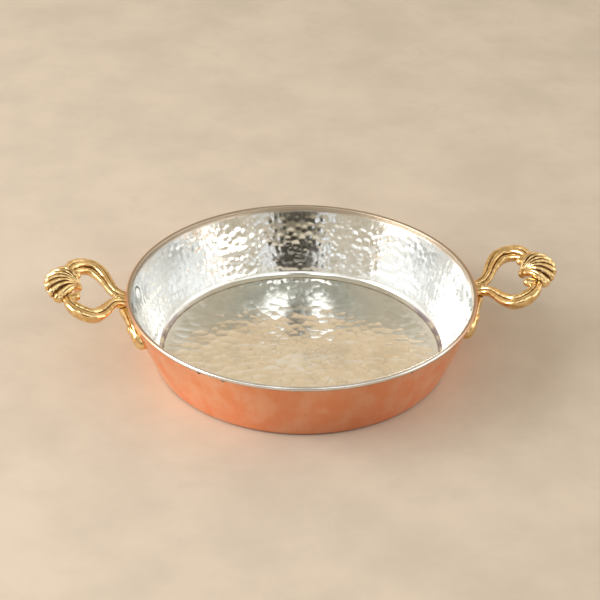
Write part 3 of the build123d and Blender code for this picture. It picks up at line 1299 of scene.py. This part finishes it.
@dataclass
class Vessel:
    """The copper sheet: base, wall and rim, spun from one outline and lightly planished."""

    sizes: PanSizes
    finish: bpy.types.Material
    segments: int = 540
    hub_radius: float = 0.02 * MM
    base_spacing: float = 5.0 * MM
    corner_spacing: float = 0.5 * MM
    wall_spacing: float = 1.25 * MM
    bead_spacing: float = 0.4 * MM
    inner_wall_spacing: float = 6.0 * MM
    inner_corner_spacing: float = 0.8 * MM
    floor_spacing: float = 9.0 * MM
    same_place: float = 0.005 * MM
    face_depth: float = 0.3 * MM
    planish_depth: float = 0.035 * MM
    planish_sink: float = 1.5
    planish_start: Span = (3 * MM, 7 * MM)
    planish_end: Span = (36 * MM, 39 * MM)
    seed: int = 21

    def outline(self) -> Outline:
        """Outline from the base's middle up the outer face, over the rim and down the inner face.

        Returns:
            The outline with its rings.
        """
        sizes = self.sizes
        slope = sizes.slope
        corner = sizes.corner_radius
        centre = (sizes.wall_radius(corner, corner), corner)
        outline = Outline()
        outline.line((self.hub_radius, 0.0), (centre[0], 0.0), self.base_spacing, left=False)
        outline.arc(centre, corner, -math.pi / 2, -slope, self.corner_spacing, hollow=False)
        foot = (centre[0] + corner * math.cos(slope), centre[1] - corner * math.sin(slope))
        bead = sizes.bead_centre
        bead_radius = sizes.bead_radius - sizes.tin_thickness
        outward = sizes.copper_thickness / 2
        below = math.sqrt(bead_radius**2 - outward**2)
        out = outward * math.cos(slope) - below * math.sin(slope)
        up = -outward * math.sin(slope) - below * math.cos(slope)
        outline.line(foot, (bead[0] + out, bead[1] + up), self.wall_spacing, left=False)
        start = math.atan2(up, out)
        out = -outward * math.cos(slope) - below * math.sin(slope)
        up = outward * math.sin(slope) - below * math.cos(slope)
        end = math.atan2(up, out) + FULL_TURN
        outline.arc(bead, bead_radius, start, end, self.bead_spacing, hollow=False)
        inner_corner = corner - sizes.copper_thickness
        inner_centre = (centre[0], sizes.copper_thickness + inner_corner)
        inner_foot = (
            inner_centre[0] + inner_corner * math.cos(slope),
            inner_centre[1] - inner_corner * math.sin(slope),
        )
        wall_top = (bead[0] + out, bead[1] + up)
        outline.line(wall_top, inner_foot, self.inner_wall_spacing, left=False)
        spacing = self.inner_corner_spacing
        outline.arc(inner_centre, inner_corner, -slope, -math.pi / 2, spacing, hollow=True)
        floor_start = (inner_centre[0], sizes.copper_thickness)
        floor_end = (self.hub_radius, sizes.copper_thickness)
        outline.line(floor_start, floor_end, self.floor_spacing, left=True)
        return outline

    def build(self) -> None:
        """Makes the vessel, dresses it and puts it in the place of the plain one."""
        rings = self.outline().rings
        Bench.clear()
        bpy.ops.mesh.primitive_plane_add(size=1 * MM)
        piece = Bench.added("spun_copper_vessel")
        with Bench.editing(piece):
            bpy.ops.mesh.merge(type="CENTER")
            bpy.ops.transform.translate(value=(rings[0].radius, 0, rings[0].height))
            for last, ring in zip(rings, rings[1:]):
                step = (ring.radius - last.radius, 0, ring.height - last.height)
                bpy.ops.mesh.extrude_vertices_move(TRANSFORM_OT_translate={"value": step})
            bpy.ops.mesh.select_all(action="SELECT")
            turn = {"angle": FULL_TURN, "center": (0, 0, 0), "axis": (0, 0, 1)}
            bpy.ops.mesh.spin(steps=self.segments, **turn)
            bpy.ops.mesh.select_all(action="SELECT")
            bpy.ops.mesh.remove_doubles(threshold=self.same_place)
            bpy.ops.mesh.select_non_manifold()
            bpy.ops.mesh.edge_face_add()
            bpy.ops.mesh.select_all(action="SELECT")
            bpy.ops.mesh.normals_make_consistent(inside=False)
        self.planish(piece)
        Bench.smooth(piece)
        dress(piece, self.finish, Slot.COPPER)
        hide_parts("pan_body")

    def planish(self, piece: bpy.types.Object) -> None:
        """Works soft shallow facets into the outer face of the wall, and bows the wall.

        Args:
            piece: The spun vessel.
        """
        sizes = self.sizes
        points = Bench.points(piece)
        radius = np.hypot(points[:, 0], points[:, 1])
        angle = np.arctan2(points[:, 1], points[:, 0])
        height = points[:, 2]
        outer = sizes.base_radius + height * math.tan(sizes.slope)
        on_face = np.abs(radius - outer) < self.face_depth
        fade = smooth_step(height, *self.planish_start)
        fade = fade * (1 - smooth_step(height, *self.planish_end))
        soft = Ripples(self.seed, turns=(24, 70), lengths=(16 * MM, 60 * MM), count=14)
        facets = soft.at(angle, height) - self.planish_sink
        relief = facets * self.planish_depth * fade * on_face
        on_wall = radius > sizes.wall_radius(sizes.corner_radius, sizes.corner_radius)
        relief += np.where(on_wall & (height > sizes.corner_radius), sizes.bow(height), 0.0)
        points[:, 0] += np.cos(angle) * relief
        points[:, 1] += np.sin(angle) * relief
        Bench.place_points(piece, points)


@dataclass
class Drips:
    """Beads of tin that ran over the rim and set under it."""

    sizes: PanSizes
    finish: bpy.types.Material
    turns: tuple[float, ...] = (-128.6, -119.8, -97.0, -58.0)
    widths: tuple[float, ...] = (1.3 * MM, 1.4 * MM, 0.8 * MM, 1.0 * MM)
    thickness: float = 0.7 * MM
    tallness: float = 0.8
    overlap: float = 0.1 * MM

    def build(self) -> None:
        """Makes each bead and dresses it."""
        sizes = self.sizes
        height = sizes.height - 2 * sizes.bead_radius + self.overlap
        radius = sizes.wall_radius(height)
        for number, (turn, width) in enumerate(zip(self.turns, self.widths), start=1):
            Bench.clear()
            bpy.ops.mesh.primitive_uv_sphere_add(segments=24, ring_count=16, radius=1.0)
            bead = Bench.added(f"tin_drip_{number}")
            bead.scale = (self.thickness, width, width * self.tallness)
            angle = math.radians(turn)
            bead.location = (radius * math.cos(angle), radius * math.sin(angle), height)
            bead.rotation_euler = (0, 0, angle)
            Bench.settle(bead)
            Bench.smooth(bead)
            dress(bead, self.finish, Slot.TIN)


@dataclass
class Handle:
    """One cast handle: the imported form, melted into one skin, lumpy as cast and worn by polish."""

    side: Side
    finish: bpy.types.Material
    voxel: float = 0.3 * MM
    same_place: float = 0.001 * MM
    melt_rounds: int = 2
    melt_share: float = 0.5
    lump_depth: float = 0.05 * MM
    root_radius: float = 101.0 * MM
    root_height: float = 38.5 * MM
    tilt: float = math.radians(19.2)
    hub_reach: float = 25.4 * MM
    rib_step: float = math.radians(15.5)
    flute_depth: float = 0.8 * MM
    flute_power: float = 1.6
    flute_start: Span = (1.5 * MM, 9.0 * MM)
    flute_sides: Span = (3.25, 3.5)
    flute_floor: float = -2.5 * MM
    flute_top_share: float = 1.4
    groove_depth: float = 0.12 * MM
    groove_rounds: int = 14
    groove_share: float = 0.7
    groove_blur_rounds: int = 2
    seed: int = 40

    @property
    def node(self) -> str:
        """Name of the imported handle."""
        return f"{self.side.word}_handle"

    def build(self) -> None:
        """Makes the handle, dresses it and puts it in the place of the plain one."""
        Bench.pick(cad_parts[self.node])
        bpy.ops.object.duplicate()
        piece = Bench.added(f"{self.side.word}_shell_handle")
        piece.parent = None
        for key in list(piece.keys()):
            del piece[key]
        with Bench.editing(piece):
            bpy.ops.mesh.remove_doubles(threshold=self.same_place)
        Bench.apply_modifier(piece, "REMESH", mode="VOXEL", voxel_size=self.voxel)
        self.flute(piece)
        self.melt(piece)
        self.mark_grooves(piece)
        Bench.smooth(piece)
        dress(piece, self.finish, Slot.BRASS)
        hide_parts(self.node)

    def flute(self, piece: bpy.types.Object) -> None:
        """Cuts the grooves between the shell's ribs deeper, so that the ribs stand sharp.

        Args:
            piece: The handle.
        """
        points = Bench.points(piece)
        out = points[:, 0] * self.side.value - self.root_radius
        up = points[:, 2] - self.root_height
        reach = out * math.cos(self.tilt) + up * math.sin(self.tilt) - self.hub_reach
        over = up * math.cos(self.tilt) - out * math.sin(self.tilt)
        from_hub = np.hypot(reach, points[:, 1])
        share = np.arctan2(points[:, 1], reach) / self.rib_step
        groove = np.abs(np.sin(math.pi * share)) ** self.flute_power
        inside = 1 - smooth_step(np.abs(share), *self.flute_sides)
        start = smooth_step(from_hub, *self.flute_start)
        depth = self.flute_depth * start * inside * (over > self.flute_floor)
        normals = Bench.normals(piece)
        upward = self.flute_top_share * np.abs(normals[:, 2])
        facing = np.clip(upward + np.abs(normals[:, 0]), 0.0, 1.0)
        Bench.place_points(piece, points - normals * (depth * groove * facing)[:, None])

    def melt(self, piece: bpy.types.Object) -> None:
        """Rounds the joins between the casting's forms and makes its skin a little uneven.

        Args:
            piece: The handle.
        """
        low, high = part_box(self.node)
        edges = Bench.edges(piece)
        points = Bench.points(piece)
        for _ in range(self.melt_rounds):
            points = points + self.melt_share * (neighbour_mean(points, edges) - points)
        waves = lumps(points * self.side.value, self.seed)
        Bench.place_points(piece, points)
        points = points + Bench.normals(piece) * waves[:, None] * self.lump_depth
        points = np.clip(points, np.array(low), np.array(high))
        Bench.place_points(piece, points)

    def mark_grooves(self, piece: bpy.types.Object) -> None:
        """Keeps how far each point lies in a groove as the attribute that the finish reads.

        Args:
            piece: The handle.
        """
        edges = Bench.edges(piece)
        points = Bench.points(piece)
        soft = points
        for _ in range(self.groove_rounds):
            soft = soft + self.groove_share * (neighbour_mean(soft, edges) - soft)
        sunk = np.einsum("ij,ij->i", soft - points, Bench.normals(piece))
        sunk = sunk / self.groove_depth
        for _ in range(self.groove_blur_rounds):
            sunk = 0.5 * sunk + 0.5 * neighbour_mean(sunk[:, None], edges)[:, 0]
        Bench.store(piece, "groove", np.clip(sunk, 0.0, 1.0))


def neighbour_mean(values: np.ndarray, edges: np.ndarray) -> np.ndarray:
    """Mean of each vertex's neighbours.

    Args:
        values: One row for each vertex.
        edges: One row of two vertex numbers for each edge.

    Returns:
        One row for each vertex.
    """
    total = np.zeros_like(values)
    count = np.zeros(len(values))
    for first, second in ((edges[:, 0], edges[:, 1]), (edges[:, 1], edges[:, 0])):
        for column in range(values.shape[1]):
            total[:, column] += np.bincount(first, values[second, column], len(values))
        count += np.bincount(first, minlength=len(values))
    return total / count[:, None]


def lumps(points: np.ndarray, seed: int) -> np.ndarray:
    """Soft lumps of a few millimetres over a casting.

    Args:
        points: One row for each vertex.
        seed: Seed of the lumps' draw.

    Returns:
        About -1 to 1 at each vertex.
    """
    waves = 16
    shortest, longest = 3.0 * MM, 7.0 * MM
    chance = np.random.default_rng(seed)
    total = np.zeros(len(points))
    for _ in range(waves):
        direction = chance.normal(0, 1, 3)
        direction /= np.linalg.norm(direction)
        rate = FULL_TURN / chance.uniform(shortest, longest)
        total += np.cos(points @ direction * rate + chance.uniform(0, FULL_TURN))
    return total / math.sqrt(waves)


@dataclass(frozen=True)
class Room:
    """What the polished metal mirrors, by the angle round from the camera's side and the height.

    Angles are in radians, and a height is the sine of the angle over the horizon.
    """

    ceiling: Colour = (0.52, 0.46, 0.35)
    window: Colour = (1.25, 1.24, 1.2)
    rear_wall: Colour = (0.76, 0.6, 0.4)
    front_wall: Colour = (0.62, 0.54, 0.42)
    front_window: Colour = (1.16, 1.17, 1.16)
    dim_window: Colour = (0.3, 0.28, 0.23)
    table_edge: Colour = (0.4, 0.34, 0.23)
    low_window: Colour = (1.0, 1.04, 1.1)
    onlooker: Colour = (0.05, 0.042, 0.03)
    skylight: Colour = (2.6, 2.6, 2.55)
    high_front: Colour = (0.5, 0.5, 0.42)
    shade: Colour = (0.1, 0.1, 0.075)
    patch_size: float = 0.07

    def build(self) -> None:
        """Makes the world."""
        world = bpy.data.worlds.new("studio")
        bpy.context.scene.world = world
        board = Board(world)
        direction = board.node("ShaderNodeTexCoord", {}, {}).outputs["Generated"]
        x, y, up = board.parts(direction)
        turn = x.arctan2(0 - y)
        middle = 1 - abs(turn + 0.02).rise(0.2, 0.32)
        colour = self.walls(board, turn, up)
        colour = self.centre(board, colour, middle, up)
        flank = abs(turn).rise(0.25, 0.31) * (1 - abs(turn).rise(0.42, 0.5))
        flank = flank * up.rise(0.15, 0.18) * (1 - up.rise(0.25, 0.3))
        colour = board.mix(flank, colour, self.low_window)
        patches = board.noise(direction, self.patch_size, 2.0, 0.5)
        colour = self.clutter(board, colour, patches, abs(turn), up, 1 - middle)
        background = board.node("ShaderNodeBackground", {}, {"Color": colour, "Strength": 1.0})
        board.node("ShaderNodeOutputWorld", {}, {"Surface": background.outputs[0]})

    def walls(self, board: Board, turn: Value, up: Value) -> bpy.types.NodeSocket:
        """Windows at both sides and in front, walls between them and skylights overhead.

        Args:
            board: The world's board.
            turn: Angle round from the camera's side.
            up: Height.

        Returns:
            The colour.
        """
        round_way = abs(turn)
        low = 1 - up.rise(0.55, 0.85)
        colour = board.mix(abs(turn + 0.22).rise(0.86, 1.1) * low, self.ceiling, self.window)
        colour = board.mix(round_way.rise(2.0, 2.6) * low, colour, self.rear_wall)
        front = 1 - round_way.rise(0.85, 1.2)
        colour = board.mix(front * (1 - up.rise(0.24, 0.3)), colour, self.front_wall)
        window = front * up.rise(0.24, 0.32) * (1 - up.rise(0.84, 0.88))
        colour = board.mix(window, colour, self.front_window)
        near_front = 1 - round_way.rise(1.2, 1.8)
        colour = board.mix(near_front * up.rise(0.87, 0.9), colour, self.high_front)
        skylight = round_way.rise(0.16, 0.24) * (1 - round_way.rise(0.6, 0.72))
        skylight = skylight * up.rise(0.8, 0.84) * (1 - up.rise(0.95, 0.965))
        return board.mix(skylight, colour, self.skylight)

    def centre(
        self, board: Board, colour: bpy.types.NodeSocket, middle: Value, up: Value
    ) -> bpy.types.NodeSocket:
        """Adds the table's edge, the dark onlooker, a dim window and a high shade.

        Args:
            board: The world's board.
            colour: The colour so far.
            middle: 1 in the camera's direction.
            up: Height.

        Returns:
            The colour with them.
        """
        colour = board.mix(middle * (1 - up.rise(0.42, 0.5)), colour, self.dim_window)
        colour = board.mix(middle * (1 - up.rise(0.28, 0.36)), colour, self.onlooker)
        high = up.rise(0.82, 0.86) * (1 - up.rise(0.93, 0.955))
        colour = board.mix(middle * high, colour, self.shade)
        return board.mix(middle * (1 - up.rise(0.12, 0.16)), colour, self.table_edge)

    def clutter(
        self,
        board: Board,
        colour: bpy.types.NodeSocket,
        patches: Value,
        round_way: Value,
        up: Value,
        off_middle: Value,
    ) -> bpy.types.NodeSocket:
        """Breaks the windows and the walls up with soft patches.

        Args:
            board: The world's board.
            colour: The colour so far.
            patches: Soft noise over the directions.
            round_way: Angle away from the camera's side.
            up: Height.
            off_middle: 0 in the camera's direction.

        Returns:
            The colour with the patches.
        """
        near_front = 1 - round_way.rise(1.2, 1.8)
        mottle = (1 - patches.rise(0.4, 0.6)) * near_front * up.rise(0.86, 0.9)
        colour = board.mix(mottle * 0.6, colour, self.shade)
        bars = (1 - patches.rise(0.45, 0.53)) * (1 - round_way.rise(0.95, 1.15))
        bars = bars * (1 - up.rise(0.5, 0.7)) * off_middle
        colour = board.mix(bars * 0.75, colour, self.table_edge)
        haze = patches.rise(0.5, 0.62) * round_way.rise(0.6, 0.9) * (1 - up.rise(0.55, 0.85))
        return board.mix(haze * 0.3, colour, self.ceiling)


class Studio:
    """Floor, light and camera."""

    CAMERA_PLACE = (-0.08705, -0.96779, 0.63632)
    CAMERA_TURN = (58.2418, -0.6918, -4.6493)
    CAMERA_LENS = 120.0
    CAMERA_SENSOR = 36.0
    FLOOR_REACH = 6.0
    FLOOR_COLOUR = (0.59, 0.5, 0.405)
    LAMP_TARGET = (0, 0, 0.02)

    def build(self) -> None:
        """Sets the stage, the lights and the camera."""
        self.build_floor()
        Room().build()
        self.add_light("left_window", (-1.08, -0.14, 0.52), (0.8, 0.8), 13.0, (1.0, 0.985, 0.96))
        self.add_light("right_window", (1.45, -0.3, 0.55), (1.2, 1.0), 2.6, (1.0, 0.98, 0.95))
        self.add_camera()
        view = bpy.context.scene.view_settings
        view.view_transform = "Standard"
        view.look = "None"

    def build_floor(self) -> None:
        """Lays the pale floor under the pan."""
        Bench.clear()
        bpy.ops.mesh.primitive_plane_add(size=self.FLOOR_REACH)
        floor = Bench.added("pale_floor")
        floor.data.materials.append(PlainFinish("pale_plaster", self.FLOOR_COLOUR).build())

    def add_light(
        self,
        name: str,
        place: tuple[float, float, float],
        size: tuple[float, float],
        power: float,
        colour: Colour,
    ) -> None:
        """Hangs a soft box that faces the pan.

        Args:
            name: The lamp's name.
            place: Where it hangs, in metres.
            size: Its width and depth in metres.
            power: Its power in watts.
            colour: The light's colour.
        """
        light = bpy.data.lights.new(name, "AREA")
        light.shape = "RECTANGLE"
        light.size, light.size_y = size
        light.energy = power
        light.color = colour
        lamp = bpy.data.objects.new(name, light)
        lamp.location = place
        aim = Vector(self.LAMP_TARGET) - lamp.location
        lamp.rotation_euler = aim.to_track_quat("-Z", "Y").to_euler()
        bpy.context.scene.collection.objects.link(lamp)

    def add_camera(self) -> None:
        """Sets the camera where the photographer's was."""
        camera = bpy.data.cameras.new("camera")
        camera.lens = self.CAMERA_LENS
        camera.sensor_width = self.CAMERA_SENSOR
        holder = bpy.data.objects.new("camera", camera)
        holder.location = self.CAMERA_PLACE
        holder.rotation_euler = tuple(math.radians(turn) for turn in self.CAMERA_TURN)
        bpy.context.scene.collection.objects.link(holder)
        bpy.context.scene.camera = holder


def main() -> None:
    """Builds the pieces in order and reports each one."""
    logging.basicConfig(level=logging.INFO, format="%(name)s: %(message)s")
    sizes = PanSizes.from_frame()
    tin = TinFinish(sizes).build()
    copper = CopperFinish().build()
    brass = BrassFinish().build()
    Vessel(sizes, copper).build()
    Lining(sizes, tin).build()
    for side in Side:
        Handle(side, brass).build()
    rivet = RivetFinish(sizes).build()
    for name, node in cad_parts.items():
        if name.endswith("_rivet"):
            node.data.materials[0] = rivet
    Drips(sizes, tin).build()
    Studio().build()


if __name__ == "__main__":
    main()
